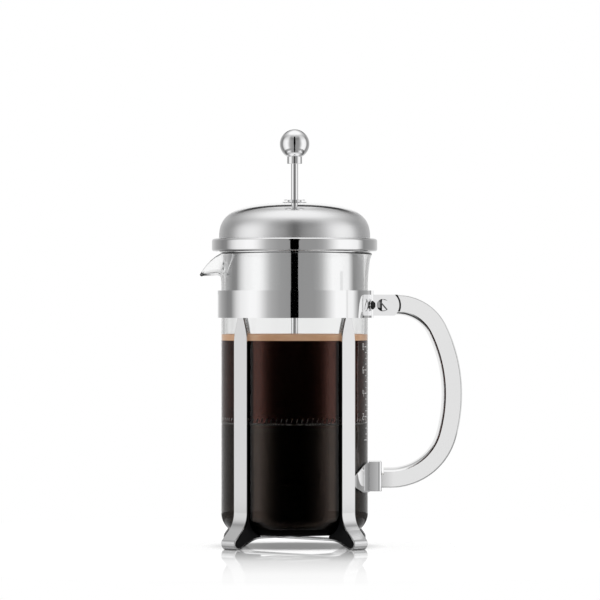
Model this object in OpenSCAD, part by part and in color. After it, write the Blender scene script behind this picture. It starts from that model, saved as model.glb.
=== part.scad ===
// French press: glass beaker in a steel frame with a loop handle, domed lid and plunger.
// Millimetres. +Z is up, the table is z = 0, and the beaker's axis is the Z axis.
// The handle is at +X and the spout at -X.

/* [Beaker] */
// Outer radius of the glass
glass_r = 48; // [47.5:0.1:48.2]
// Thickness of the glass wall
glass_wall = 2; // [1.8:0.1:2.2]
// Height of the underside of the glass above the table
glass_z = 8.3; // [8.2:0.1:8.8]
// Height of the glass rim above the table
glass_top = 191.8; // [189:0.1:192]
// Radius of the rounded bottom corner
corner_r = 13.6; // [12:0.1:15]
// Reach of the spout's tip from the axis
spout_reach = 62.2; // [60:0.1:64]

/* [Frame] */
// Outer radius of the band
band_r = 50.4; // [50.4:0.1:51]
// Thickness of the band
band_t = 0.8; // [0.7:0.1:0.8]
// Height of the band's lower edge
band_z = 149.6; // [146:0.1:152]
// Height of the band itself
band_h = 17.8; // [17:0.1:19]
// Width of a leg strip
leg_w = 12; // [10:0.5:13]
// Thickness of a leg strip
leg_t = 1.3; // [1:0.1:1.3]
// Outer radius of a foot's curl
curl_r = 4; // [3.5:0.1:4.5]
// Reach of a foot from the axis
foot_reach = 61; // [60:0.5:63]

/* [Handle] */
// Thickness of the handle across its flat sides
grip_t = 16; // [15.5:0.1:16.5]
// Width of the handle's bar
grip_w = 13.1; // [12.5:0.1:13.5]
// Radius of the handle's upper bend, measured outside
bend_top_r = 36; // [35:0.5:37]
// Radius of the handle's lower bend, measured outside
bend_low_r = 44.5; // [43.5:0.5:45.5]
// Radius of the screw shanks
screw_r = 1.95; // [1.8:0.05:1.95]

/* [Lid] */
// Radius of the dome at its foot
dome_r = 49.5; // [49.4:0.1:49.6]
// Height of the dome above the rim
dome_h = 24.4; // [22:0.1:26]
// Roundness of the dome: 2 is an ellipse, more is squarer
dome_power = 2.9; // [2.6:0.1:3.1]
// Outer radius of the lid's rim
rim_r = 54.2; // [53.5:0.1:55]
// Height of the rim's underside
rim_z = 192.7; // [192.6:0.1:193]
// Outer radius of the skirt inside the glass
skirt_r = 45.4; // [45:0.1:45.5]
// Height of the skirt's lower edge
skirt_z = 160; // [155:1:170]

/* [Plunger] */
// Radius of the ball knob
knob_r = 9.7; // [9:0.1:11]
// Height of the knob's centre
knob_z = 263.4; // [260:0.1:275]
// Radius of the rod
rod_r = 2.3; // [2:0.05:2.3]
// Height of the edge coil's middle
coil_z = 83.3; // [60:0.1:110]
// Outer radius of the edge coil
coil_r = 45.75; // [45.5:0.05:45.75]
// Number of windings round the edge coil
windings = 60; // [40:2:80]

/* [Hidden] */

$fn = 96;
eps = 0.02;
far = 400;

chrome = "silver";
steel = "lightsteelblue";
black = "#1c1c1e";
glass = [0.8, 0.9, 0.95, 0.35];

// Space left between the glass and what holds it
air = 0.3;

// Points on an arc about c, from angle a0 to a1 in n steps.
function arc(c, r, a0, a1, n) =
    [for (i = [0:n]) let (a = a0 + (a1 - a0) * i / n) c + r * [cos(a), sin(a)]];

// A vertical plane figure: its x stays x, its y becomes z, and it is w wide about y = 0.
module upright(w) {
    rotate([90, 0, 0])
        linear_extrude(w, center = true)
            children();
}

// A cylinder along Y at x and z, from y0 to y1.
module pin_y(x, z, r, y0, y1) {
    translate([x, y1, z])
        rotate([90, 0, 0])
            cylinder(h = y1 - y0, r = r);
}

/* ---------- legs ---------- */

leg_out = band_r - band_t;
curl_x = foot_reach - curl_r;
// The curl's centre is a little low, and the table plane cuts a narrow flat on it.
foot_flat = 0.15;
curl_z = curl_r - foot_flat;
flare_r = 16;
ramp_a = 24.8;
ramp_r = 26;
leg_top = band_z + band_h - 1.4;
tip_w = 5.2;
taper_z = 137;
taper_mid_z = (taper_z + band_z) / 2 + 2;
taper_mid_w = tip_w + 2.4;

// Height of the flare's start, so that the 45 degree stretch meets the curl.
flare_z = curl_z + curl_x - leg_out + curl_r * sqrt(2) - flare_r * (1 - sqrt(2));

// One face of a leg as a path in radius and height, d inside the outer face,
// from the top of the leg to the flat that passes under the beaker.
function leg_path(d, flat_z) =
    let (r = curl_r - d,
         bend = ramp_r + d,
         foot = [curl_x, curl_z] + r * [cos(-90 - ramp_a), sin(-90 - ramp_a)],
         end_z = flat_z - ramp_r + bend * cos(ramp_a),
         end_x = foot[0] - (end_z - foot[1]) / tan(ramp_a))
    concat([[leg_out - d, leg_top]],
           arc([leg_out + flare_r, flare_z], flare_r + d, 180, 225, 8),
           arc([curl_x, curl_z], r, 45, -90 - ramp_a, 16),
           arc([end_x - bend * sin(ramp_a), flat_z - ramp_r], bend, 90 - ramp_a, 90, 6));

function reversed(list) = [for (i = [len(list) - 1:-1:0]) list[i]];

// Cross-section of half a strip, cut level with the table.
module leg_section(flat_z) {
    outer = leg_path(0, flat_z);
    inner = leg_path(leg_t, flat_z);
    intersection() {
        union() {
            polygon(concat(outer, reversed(inner)));
            translate([0, flat_z])
                square([outer[len(outer) - 1][0] + 0.5, leg_t]);
        }
        translate([-1, 0])
            square([far, far]);
    }
}

// Front view of a leg: full width below, a narrow tab where it goes inside the band.
module leg_face() {
    polygon([[-leg_w / 2, 0], [leg_w / 2, 0], [leg_w / 2, taper_z],
             [taper_mid_w / 2, taper_mid_z], [tip_w / 2, band_z],
             [tip_w / 2, leg_top], [-tip_w / 2, leg_top], [-tip_w / 2, band_z],
             [-taper_mid_w / 2, taper_mid_z], [-leg_w / 2, taper_z]]);
}

module leg(flat_z) {
    intersection() {
        upright(leg_w)
            leg_section(flat_z);
        translate([far / 2 - 1, 0, 0])
            rotate([90, 0, 90])
                linear_extrude(far, center = true)
                    leg_face();
        union() {
            cylinder(h = band_z - 1, r = far);
            cylinder(h = far, r = leg_out);
        }
    }
}

module leg_strip(angle, flat_z) {
    color(chrome)
        for (a = [angle, angle + 180])
            rotate([0, 0, a])
                leg(flat_z);
}

// One strip crosses just above the other.
flat_high = 6.55;
flat_low = flat_high - leg_t - 0.05;

module leg_strip_a() {
    leg_strip(45, flat_high);
}

module leg_strip_b() {
    leg_strip(135, flat_low);
}

/* ---------- support pads ---------- */

pad_w = leg_w + 1;
pad_top = 24;
pad_inner = 38;

// Fills the curl and the wedge between the strip and the rounded corner of the glass.
module pad_section(flat_z) {
    inner = leg_path(leg_t, flat_z);
    difference() {
        intersection() {
            polygon(concat(inner, [[0, flat_z + leg_t], [0, leg_top]]));
            translate([pad_inner, 0])
                square([far, pad_top]);
        }
        beaker_outline(air);
    }
}

module pad(angle, flat_z) {
    color(black)
        rotate([0, 0, angle])
            upright(pad_w)
                pad_section(flat_z);
}

/* ---------- band ---------- */

band_in = band_r - band_t;
fold_r = 5;
ear_in = grip_t / 2 - band_t - 0.05;
ear_out = ear_in + band_t;
fold_y = ear_out + fold_r;
fold_x = sqrt(pow(band_r + fold_r, 2) - fold_y * fold_y);
fold_a = atan2(fold_y, fold_x);
ear_z = 157.85;
ear_h = 13.7;
ear_end_r = 9.4;
ear_end = 68.4;
step_x = 51.6;
screw_x = 57.8;
dart_r = 4;
dart_rise = 1.2;

// A short key inside the sheet, across the joint of ring and fold
key = 0.6;

// Plan of one fold and ear, on the -Y side.
module fold_plan() {
    translate([fold_x, -fold_y])
        intersection() {
            difference() {
                circle(r = fold_r + band_t);
                circle(r = fold_r);
            }
            polygon([[0, 0], [0, far], far * [-cos(fold_a), sin(fold_a)]]);
        }
    translate([fold_x - eps, -ear_out])
        square([ear_end - fold_x + eps, band_t]);
    rotate(-fold_a)
        translate([band_in + band_t / 4, -key / 2])
            square([band_t / 2, key]);
}

// Plan of the band: a ring, open at the handle, with both ears.
module band_plan() {
    difference() {
        circle(r = band_r, $fn = 180);
        circle(r = band_in, $fn = 180);
        polygon([[0, 0], far * [cos(fold_a), -sin(fold_a)], far * [cos(fold_a), sin(fold_a)]]);
    }
    fold_plan();
    mirror([0, 1])
        fold_plan();
}

// Side view of the band and its narrower, round-ended ears.
module band_side() {
    translate([-far, band_z])
        square([far + step_x, band_h]);
    intersection() {
        translate([step_x - 1, ear_z - ear_h / 2])
            square([far, ear_h]);
        translate([ear_end - ear_end_r, ear_z])
            union() {
                circle(r = ear_end_r);
                translate([-far, -far / 2])
                    square([far, far]);
            }
    }
}

// Pressed dart that stiffens the fold: the part of a round shell that stands out of it.
module dart() {
    mid = (90 + 180 - fold_a) / 2;
    centre = [fold_x, -fold_y] + (fold_r - dart_rise + dart_r) * [cos(mid), sin(mid)];
    intersection() {
        translate([centre[0], centre[1], ear_z])
            difference() {
                sphere(r = dart_r);
                sphere(r = dart_r - band_t);
            }
        translate([fold_x, -fold_y, 0])
            cylinder(h = far, r = fold_r + band_t / 2);
    }
}

module frame_band() {
    color(chrome)
        difference() {
            union() {
                intersection() {
                    linear_extrude(band_z + band_h)
                        band_plan();
                    upright(far)
                        band_side();
                }
                dart();
                mirror([0, 1, 0])
                    dart();
            }
            pin_y(screw_x, ear_z, nut_sleeve_r + 0.05, -ear_out - 1, ear_out + 1);
        }
}

/* ---------- handle ---------- */

grip_in_t = 10.5;
grip_bulge = grip_w - grip_in_t;
bulge_r = (pow(grip_t / 2, 2) + pow(grip_bulge, 2)) / (2 * grip_bulge);
shoulder_r = ear_end_r + 1.2;
low_tongue_t = 12;
low_tongue_h = 9;
pocket_x = 51.5;
notch_x = 58.3;

// The outer edge is four arcs in a row. Each is [centre x, centre z, radius, from, to].
top_c = [66.7, 128.7];
side_z = 100;
grip_reach = 109.4;
low_c = [62.6, 83];

// Radius of the arc that is tangent to a vertical line at grip_reach and to a bend inside it.
function side_radius(c, r) =
    let (a = grip_reach - c[0], b = c[1] - side_z)
    (a * a + b * b - r * r) / (2 * (a - r));

side_up_r = side_radius(top_c, bend_top_r);
side_low_r = side_radius(low_c, bend_low_r);
side_up_c = [grip_reach - side_up_r, side_z];
side_low_c = [grip_reach - side_low_r, side_z];
up_a = atan2(top_c[1] - side_up_c[1], top_c[0] - side_up_c[0]);
low_a = atan2(low_c[1] - side_low_c[1], low_c[0] - side_low_c[0]);

// The outer edge as stations: [x, z, direction that faces outwards].
function grip_turn(c, r, from, to, n) =
    [for (i = [0:n]) let (a = from + (to - from) * i / n) [c[0] + r * cos(a), c[1] + r * sin(a), a]];

STATIONS = concat([[fold_x - 0.5, top_c[1] + bend_top_r, 90]],
                  grip_turn(top_c, bend_top_r, 90, up_a, 10),
                  grip_turn(side_up_c, side_up_r, up_a * 5 / 6, 0, 5),
                  grip_turn(side_low_c, side_low_r, low_a / 2, low_a, 1),
                  grip_turn(low_c, bend_low_r, low_a - 7, -90, 10),
                  [[pocket_x, low_c[1] - bend_low_r, -90]]);

// Cross-section of the bar: flat outside, slightly round inside. x = 0 is the outer edge.
grip_edge = 0.6;
bulge_a = asin(grip_t / 2 / bulge_r);
GRIP_SECTION = concat([[0, grip_edge - grip_t / 2], [0, grip_t / 2 - grip_edge],
                       [-grip_edge, grip_t / 2]],
                      arc([bulge_r - grip_w, 0], bulge_r, 180 - bulge_a, 180 + bulge_a, 6),
                      [[-grip_edge, -grip_t / 2]]);

// Sweeps the section along the stations as one closed solid.
module grip_bar() {
    m = len(GRIP_SECTION);
    last = m * (len(STATIONS) - 1);
    points = [for (s = STATIONS, q = GRIP_SECTION)
        [s[0] + q[0] * cos(s[2]), q[1], s[1] + q[0] * sin(s[2])]];
    sides = [for (k = [0:len(STATIONS) - 2], j = [0:m - 1]) let (n = (j + 1) % m)
        [k * m + j, k * m + n, (k + 1) * m + n, (k + 1) * m + j]];
    polyhedron(points, concat(sides, [[for (j = [m - 1:-1:0]) j], [for (j = [0:m - 1]) last + j]]));
}

// Cuts both sides of the bar back to a tongue, 2 * half thick, where the children reach.
module tongue_cut(half) {
    for (side = [-1, 1])
        translate([0, side * (half + far / 2), 0])
            upright(far)
                children();
}

module handle() {
    color(chrome)
        difference() {
            grip_bar();
            tongue_cut(ear_in - 0.05)
                translate([ear_end - ear_end_r, ear_z])
                    union() {
                        circle(r = shoulder_r);
                        translate([-far, -far / 2])
                            square(far);
                    }
            difference() {
                union() {
                    translate([0, -far / 2, 0])
                        cube([socket_x, far, side_z]);
                    translate([0, -far / 2, socket_mid_z + 1])
                        cube([notch_x, far, grip_w]);
                }
                translate([0, -low_tongue_t / 2, socket_mid_z - low_tongue_h / 2])
                    cube([far, low_tongue_t, low_tongue_h]);
            }
            pin_y(screw_x, ear_z, nut_sleeve_r + 0.05, -far / 2, far / 2);
            translate([pocket_x - 1, 0, socket_mid_z])
                rotate([0, 90, 0])
                    cylinder(h = screw_end_x - pocket_x + 2, r = screw_r + 0.05);
        }
}

/* ---------- upper screw ---------- */

head_r = 4.1;
head_h = 1.6;
dome_of_head = 0.7;
slot_w = 0.9;
slot_a = -50;
nut_sleeve_r = 2.6;

// Low domed head with a slot, its flat back at z = 0.
module slotted_head() {
    ball = (head_r * head_r + dome_of_head * dome_of_head) / (2 * dome_of_head);
    difference() {
        intersection() {
            cylinder(h = head_h, r = head_r);
            translate([0, 0, head_h - ball])
                sphere(r = ball, $fn = 180);
        }
        rotate([0, 0, slot_a])
            translate([-far / 2, -slot_w / 2, head_h - dome_of_head - 0.3])
                cube([far, slot_w, head_h]);
    }
}

module handle_screw() {
    color(chrome)
        translate([screw_x, -ear_out, ear_z])
            rotate([90, 0, 0])
                slotted_head();
    color(chrome)
        pin_y(screw_x, ear_z, screw_r, -ear_out - 0.5, ear_in - 2);
}

// Barrel nut: its sleeve goes through both ears and the tongue and takes the screw.
module handle_nut() {
    color(chrome)
        difference() {
            union() {
                translate([screw_x, ear_out, ear_z])
                    rotate([-90, 0, 0])
                        slotted_head();
                pin_y(screw_x, ear_z, nut_sleeve_r, -ear_out, ear_out + 0.5);
            }
            pin_y(screw_x, ear_z, screw_r + 0.02, -far / 2, ear_in);
        }
}

/* ---------- lower brace and socket ---------- */

brace_in = glass_r + 0.45;
brace_t = 1;
brace_out = brace_in + brace_t;
neck_z = 40.6;
neck_h = 5.4;
brace_z = 35.8;
brace_h = 19.2;
neck_x = 38.4;
wide_x = 45.2;

socket_x = 56.9;
socket_z = 36.3;
socket_h = 19.4;
socket_half_y = 9.7;
socket_round = 2.2;
socket_mid_z = socket_z + socket_h / 2;
screw_end_x = 68;

// Side view of the brace: a narrow neck at each leg and a tall middle.
module brace_side() {
    top = brace_z + brace_h;
    polygon([[0, neck_z], [neck_x, neck_z], [wide_x, brace_z], [far, brace_z], [far, top],
             [wide_x + 2, top], [wide_x, top - 1.6], [neck_x, neck_z + neck_h],
             [0, neck_z + neck_h]]);
}

module lower_bracket() {
    edge = leg_w / 2 + eps;
    color(chrome)
        difference() {
            intersection() {
                cylinder(h = far, r = brace_out, $fn = 180);
                upright(far)
                    brace_side();
            }
            cylinder(h = far, r = brace_in, $fn = 180);
            for (side = [-1, 1])
                rotate([0, 0, side * 45])
                    translate([0, side > 0 ? -edge : edge - far, 0])
                        cube([far, far, far]);
            translate([0, 0, socket_mid_z])
                rotate([0, 90, 0])
                    cylinder(h = far, r = screw_r + 0.1);
        }
}

// Plan of the socket block, its two outer corners rounded.
module socket_plan() {
    flat_y = socket_half_y - socket_round;
    translate([brace_in, -socket_half_y])
        square([socket_x - socket_round - brace_in, 2 * socket_half_y]);
    translate([brace_in, -flat_y])
        square([socket_x - brace_in, 2 * flat_y]);
    for (side = [-1, 1])
        translate([socket_x - socket_round, side * flat_y])
            circle(r = socket_round);
}

// Block that takes the handle's lower end. Its back follows the brace.
module handle_socket() {
    color(chrome)
        difference() {
            translate([0, 0, socket_z])
                linear_extrude(socket_h)
                    difference() {
                        socket_plan();
                        circle(r = brace_out, $fn = 180);
                    }
            translate([pocket_x - eps, -low_tongue_t / 2 - eps, socket_mid_z - low_tongue_h / 2 - eps])
                cube([far, low_tongue_t + 2 * eps, low_tongue_h + 2 * eps]);
            translate([0, 0, socket_mid_z])
                rotate([0, 90, 0])
                    cylinder(h = far, r = screw_r + 0.1);
        }
}

// Headless screw from the brace, through the socket, into the handle's end.
module lower_screw() {
    color(steel)
        translate([0, 0, socket_mid_z])
            rotate([0, 90, 0])
                translate([0, 0, brace_in - 0.1])
                    cylinder(h = screw_end_x - brace_in, r = screw_r);
}

/* ---------- beaker ---------- */

floor_t = 3;
flare_start = 168;
flare_out = 1.2;
lip_out = 1;
lip_start = 186;
spout_tip_z = 176.6;
spout_half_angle = 42;
spout_tip_r = 1.4;
spout_arc_r = 34;

// Right half of the beaker's outer outline, grown by d.
module beaker_outline(d) {
    c = [glass_r - corner_r, glass_z + corner_r];
    translate(c)
        circle(r = corner_r + d);
    translate([0, glass_z - d])
        square([c[0], corner_r * 2]);
    translate([0, c[1]])
        square([glass_r + d, far]);
}

// Radius of the outer wall at height z: straight, then a slight flare, then the lip.
function wall_r(z) =
    z < flare_start ? glass_r
    : glass_r + flare_out * pow((z - flare_start) / (lip_start - flare_start), 2)
      + (z > lip_start ? lip_out * pow((z - lip_start) / (glass_top - lip_start), 2) : 0);

module beaker_wall() {
    corner = [glass_r - corner_r, glass_z + corner_r];
    lip = glass_wall / 2;
    rim_heights = [for (i = [0:10]) flare_start + (glass_top - lip - flare_start) * i / 10];
    outer = concat([[0, glass_z]], arc(corner, corner_r, -90, 0, 12),
                   [for (z = rim_heights) [wall_r(z), z]]);
    rim_c = [wall_r(glass_top - lip) - lip, glass_top - lip];
    inner_c = [corner[0], glass_z + floor_t + corner_r - glass_wall];
    inner = concat([for (z = reversed(rim_heights)) [wall_r(z) - glass_wall, z]],
                   arc(inner_c, corner_r - glass_wall, 0, -90, 10), [[0, glass_z + floor_t]]);
    rotate_extrude($fn = 180)
        polygon(concat(outer, arc(rim_c, lip, 15, 165, 6), inner));
}

// Cone whose point is the spout's tip and whose axis rises at 45 degrees into the beaker.
module spout_cone(shift, tip_r) {
    length = 30;
    translate([-spout_reach + tip_r + shift / sqrt(2), 0, spout_tip_z + tip_r + shift / sqrt(2)])
        rotate([0, 45, 0]) {
            cylinder(h = length, r1 = tip_r, r2 = tip_r + length * tan(spout_half_angle));
            sphere(r = tip_r);
        }
}

// The rim over the spout: an arc that falls from the lip to the tip.
module spout_limit() {
    top = [-glass_r + 1, glass_top];
    tip = [-spout_reach, spout_tip_z + 1];
    half = norm(top - tip) / 2;
    mid = (top + tip) / 2;
    out = [top[1] - tip[1], tip[0] - top[0]] / (2 * half);
    centre = mid + out * sqrt(spout_arc_r * spout_arc_r - half * half);
    upright(far)
        translate(centre)
            circle(r = spout_arc_r, $fn = 180);
}

module beaker() {
    color(glass)
        difference() {
            union() {
                beaker_wall();
                intersection() {
                    spout_cone(0, spout_tip_r);
                    spout_limit();
                    translate([-far - 42, -far / 2, 0])
                        cube([far, far, glass_top]);
                }
            }
            intersection() {
                spout_cone(glass_wall / sin(spout_half_angle) - 0.6, 0.2);
                translate([-far, -far / 2, 0])
                    cube([far - 40, far, far]);
            }
            translate([0, 0, flare_start])
                cylinder(h = far, r = glass_r - glass_wall);
        }
}

/* ---------- lid ---------- */

dome_t = 0.8;
dome_foot_z = rim_z + 7.8;
dome_top_z = dome_foot_z + dome_h;
dome_low_z = rim_z;
rim_h = 8.8;
rim_round = 1.9;
rim_t = 1;
skirt_t = 0.7;
skirt_top_z = glass_top + air + skirt_t;
flange_r = dome_r - dome_t;
bush_r = 3.5;
splash_z = 186;

// Points of the dome's outline, d inside it, from foot to top.
function dome_line(d, n) =
    let (r = dome_r - d, h = dome_h - d)
    [for (i = [0:n]) let (a = 90 * i / n)
        [r * pow(cos(a), 2 / dome_power), dome_foot_z + h * pow(sin(a), 2 / dome_power)]];

module lid_dome() {
    hole = bush_r + 0.06;
    color(chrome)
        difference() {
            rotate_extrude($fn = 180)
                polygon(concat([[dome_r, dome_low_z]], dome_line(0, 28),
                               reversed(dome_line(dome_t, 28)), [[dome_r - dome_t, dome_low_z]]));
            translate([0, 0, dome_foot_z])
                cylinder(h = far, r = hole);
        }
}

// Rolled bead round the lid, open towards the dome.
module lid_rim() {
    module bead(inset) {
        r = rim_round - inset;
        x1 = rim_r - inset;
        z0 = rim_z + inset;
        z1 = rim_z + rim_h - inset;
        for (z = [z0 + r, z1 - r])
            translate([x1 - r, z])
                circle(r = r);
        translate([dome_r - inset, z0])
            square([x1 - r - dome_r + inset, z1 - z0]);
        translate([dome_r - inset, z0 + r])
            square([x1 - dome_r + inset, z1 - z0 - 2 * r]);
    }
    color(chrome)
        rotate_extrude($fn = 180)
            difference() {
                bead(0);
                bead(rim_t);
            }
}

// Cylinder inside the glass, with rows of pouring slots on the spout's side.
module lid_skirt() {
    slot_l = 4;
    slot_h = 1.6;
    slot_pitch = 3.4;
    slot_rows = 4;
    slot_step_a = 8;
    slot_first_z = 174;
    color(chrome)
        difference() {
            rotate_extrude($fn = 180) {
                translate([skirt_r - skirt_t, skirt_z])
                    square([skirt_t, skirt_top_z - skirt_z]);
                translate([skirt_r - skirt_t, skirt_top_z - skirt_t])
                    square([flange_r - skirt_r + skirt_t - eps, skirt_t]);
            }
            for (row = [0:slot_rows - 1], side = [-1:1])
                rotate([0, 0, 180 + side * slot_step_a])
                    translate([skirt_r - 2, -slot_l / 2, slot_first_z + row * slot_pitch])
                        cube([4, slot_l, slot_h]);
        }
}

// Plate across the skirt: a raised collar round the rod and a lip along the skirt's wall.
module splash_plate() {
    lip_h = 2;
    plate_r = skirt_r - skirt_t;
    bore_r = rod_r + 0.9;
    collar_r1 = 9;
    collar_r2 = 12;
    collar_h = 0.6;
    high_z = splash_z + collar_h + 0.8;
    color(steel)
        rotate_extrude($fn = 180)
            polygon([[bore_r, high_z], [bore_r, splash_z + collar_h],
                     [collar_r1, splash_z + collar_h], [collar_r2, splash_z], [plate_r, splash_z],
                     [plate_r, splash_z + lip_h], [plate_r - skirt_t, splash_z + lip_h],
                     [plate_r - skirt_t, splash_z + skirt_t], [collar_r2 + 0.3, splash_z + skirt_t],
                     [collar_r1 + 0.3, high_z]]);
}

bush_top_z = dome_top_z + 1.9;
bush_low_z = dome_top_z - 7;

// Guide for the rod: two flanges over the dome and a shank through it.
module rod_bush() {
    waist_r = 4.6;
    flange_t = 0.7;
    low_r = 8;
    high_r = 7;
    seat_z = dome_top_z + 0.05;
    color(chrome)
        difference() {
            rotate_extrude()
                polygon([[0, bush_low_z], [bush_r, bush_low_z], [bush_r, seat_z],
                         [low_r, seat_z], [low_r, seat_z + flange_t / 2],
                         [waist_r, dome_top_z + flange_t], [waist_r, bush_top_z - flange_t],
                         [high_r, bush_top_z - flange_t / 2], [high_r, bush_top_z], [0, bush_top_z]]);
            translate([0, 0, bush_low_z - 1])
                cylinder(h = far, r = rod_r + 0.06);
        }
}

// Nut that holds the guide from inside the dome.
module bush_nut() {
    nut_h = 3.2;
    nut_r = 6.5;
    nut_top_z = dome_top_z - 1.2;
    color(steel)
        translate([0, 0, nut_top_z - nut_h])
            difference() {
                cylinder(h = nut_h, r = nut_r, $fn = 6);
                translate([0, 0, -1])
                    cylinder(h = far, r = bush_r + 0.02);
            }
}

/* ---------- plunger ---------- */

collar_r = 4.9;
collar_z = 250.3;
knob_low_z = knob_z - sqrt(knob_r * knob_r - collar_r * collar_r);
rod_top_z = knob_z;
wire_t = 0.6;
coil_tube_r = 2.25;
coil_mid_r = coil_r - coil_tube_r;
plate_t = 0.6;
mesh_z = coil_z - coil_tube_r - 0.65;
mesh_t = 0.5;
cross_z = mesh_z - 1.1;
hub_h = 6.5;
rod_low_z = cross_z - hub_h + 1.1;

module knob() {
    color(chrome)
        difference() {
            translate([0, 0, knob_z])
                sphere(r = knob_r, $fn = 180);
            translate([0, 0, knob_low_z - far])
                cylinder(h = far, r = far);
            translate([0, 0, knob_low_z - 1])
                cylinder(h = rod_top_z - knob_low_z + 1, r = rod_r + 0.02);
        }
}

module knob_collar() {
    edge = 0.4;
    color(chrome)
        difference() {
            rotate_extrude()
                polygon([[0, collar_z], [collar_r - edge, collar_z], [collar_r, collar_z + edge],
                         [collar_r, knob_low_z - edge], [collar_r - edge, knob_low_z],
                         [0, knob_low_z]]);
            translate([0, 0, collar_z - 1])
                cylinder(h = far, r = rod_r + 0.02);
        }
}

// Rod with a fixed shoulder that presses on the filter stack.
module plunger_rod() {
    shoulder_r = 7.5;
    shoulder_h = 1.4;
    color(chrome) {
        translate([0, 0, rod_low_z])
            cylinder(h = rod_top_z - rod_low_z, r = rod_r);
        translate([0, 0, mesh_z + mesh_t + plate_t])
            cylinder(h = shoulder_h, r = shoulder_r);
    }
}

// Rings of holes: [radius of the ring, number of holes] each.
PLATE_HOLES = [[13, 10], [20, 14], [27, 20], [34, 26]];
plate_hole_r = 1.8;

// Dished plate: it lies on the mesh, and its edge rises into the coil.
module spiral_plate() {
    low = mesh_z + mesh_t;
    high = coil_z - plate_t / 2;
    flat_r = 38;
    rise_r = 41;
    color(steel)
        difference() {
            rotate_extrude($fn = 180)
                polygon([[rod_r + 0.02, low], [flat_r, low], [rise_r, high], [coil_mid_r, high],
                         [coil_mid_r, high + plate_t], [rise_r - 0.3, high + plate_t],
                         [flat_r - 0.3, low + plate_t], [rod_r + 0.02, low + plate_t]]);
            for (ring = PLATE_HOLES, i = [1:ring[1]])
                rotate([0, 0, 360 * i / ring[1]])
                    translate([ring[0], 0, low - 1])
                        cylinder(h = 4, r = plate_hole_r, $fn = 24);
        }
}

// Spring round the plate: a tube with its outer half cut into windings.
module edge_coil() {
    gap = 0.62 * 2 * PI * coil_r / windings;
    color(steel)
        difference() {
            rotate_extrude($fn = 180)
                translate([coil_mid_r, coil_z])
                    difference() {
                        rotate(22.5)
                            circle(r = coil_tube_r / cos(22.5), $fn = 8);
                        rotate(22.5)
                            circle(r = coil_tube_r / cos(22.5) - wire_t, $fn = 8);
                        translate([-far, -plate_t / 2 - 0.1])
                            square([far, plate_t + 0.2]);
                    }
            for (i = [1:windings])
                rotate([0, 0, 360 * i / windings])
                    translate([coil_mid_r - coil_tube_r / 3, -gap / 2, coil_z - coil_tube_r - 1])
                        cube([far, gap, 2 * coil_tube_r + 2]);
        }
}

// Woven mesh disc with a short upturned edge.
module mesh_filter() {
    edge_h = 1.1;
    color("gainsboro")
        rotate_extrude($fn = 180)
            polygon([[rod_r + 0.02, mesh_z], [coil_r, mesh_z], [coil_r, mesh_z + edge_h],
                     [coil_r - 0.35, mesh_z + edge_h], [coil_r - 0.35, mesh_z + mesh_t],
                     [rod_r + 0.02, mesh_z + mesh_t]]);
}

// Bottom plate: a rim and a hub joined by a cross, open between.
module cross_plate() {
    rim_w = 4;
    plate_r = coil_r - 1.2;
    arm_w = 9;
    centre_r = 11;
    color(steel)
        translate([0, 0, cross_z])
            difference() {
                linear_extrude(mesh_z - cross_z)
                    difference() {
                        circle(r = plate_r, $fn = 180);
                        difference() {
                            circle(r = plate_r - rim_w, $fn = 180);
                            circle(r = centre_r);
                            for (a = [0, 90])
                                rotate(a)
                                    square([2 * plate_r, arm_w], center = true);
                        }
                    }
                translate([0, 0, -1])
                    cylinder(h = far, r = rod_r + 0.02);
            }
}

// Hub that screws on to the rod and clamps the stack against the shoulder.
module cross_hub() {
    color(steel)
        translate([0, 0, cross_z - hub_h])
            difference() {
                cylinder(h = hub_h, r = 6);
                translate([0, 0, 1])
                    cylinder(h = hub_h, r = rod_r + 0.02);
            }
}

frame_band();
leg_strip_a();
leg_strip_b();
pad(225, flat_high);  // pad_front_left
pad(315, flat_low);  // pad_front_right
pad(135, flat_low);  // pad_back_left
pad(45, flat_high);  // pad_back_right
handle();
handle_screw();
handle_nut();
lower_bracket();
handle_socket();
lower_screw();
beaker();
rod_bush();
bush_nut();
lid_dome();
lid_rim();
lid_skirt();
splash_plate();
knob();
knob_collar();
plunger_rod();
spiral_plate();
edge_coil();
mesh_filter();
cross_plate();
cross_hub();
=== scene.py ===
"""The looks of a french press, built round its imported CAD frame.

Lengths are in millimetres and angles in degrees, unless a comment says otherwise; mesh() makes metres.
"""

from math import acos, asin, atan2, cos, degrees, dist, hypot, pi, radians, sin, sqrt, tan

import bmesh
import bpy
import numpy as np
from mathutils import Matrix, Vector


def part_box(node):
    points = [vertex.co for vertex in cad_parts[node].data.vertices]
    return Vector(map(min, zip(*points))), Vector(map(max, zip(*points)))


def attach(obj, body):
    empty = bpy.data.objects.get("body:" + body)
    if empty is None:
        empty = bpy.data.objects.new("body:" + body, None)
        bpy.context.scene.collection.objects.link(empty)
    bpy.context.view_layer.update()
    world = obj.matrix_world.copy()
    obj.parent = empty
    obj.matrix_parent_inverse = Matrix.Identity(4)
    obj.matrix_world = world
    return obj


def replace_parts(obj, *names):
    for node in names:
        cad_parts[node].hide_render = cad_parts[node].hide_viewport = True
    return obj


MM = 0.001
ROUND = 240  # steps round a turned piece
HOLD = 0.05  # distance from a rounded corner at which a flat stretch is held flat

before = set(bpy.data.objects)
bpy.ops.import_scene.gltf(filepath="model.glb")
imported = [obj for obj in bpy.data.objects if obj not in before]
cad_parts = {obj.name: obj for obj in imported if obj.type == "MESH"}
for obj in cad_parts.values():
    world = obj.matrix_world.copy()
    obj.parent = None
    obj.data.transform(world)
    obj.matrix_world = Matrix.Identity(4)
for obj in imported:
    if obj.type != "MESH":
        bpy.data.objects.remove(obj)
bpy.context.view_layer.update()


def low(node):
    """Lowest corner of a CAD node."""
    return np.array(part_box(node)[0]) / MM


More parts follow.
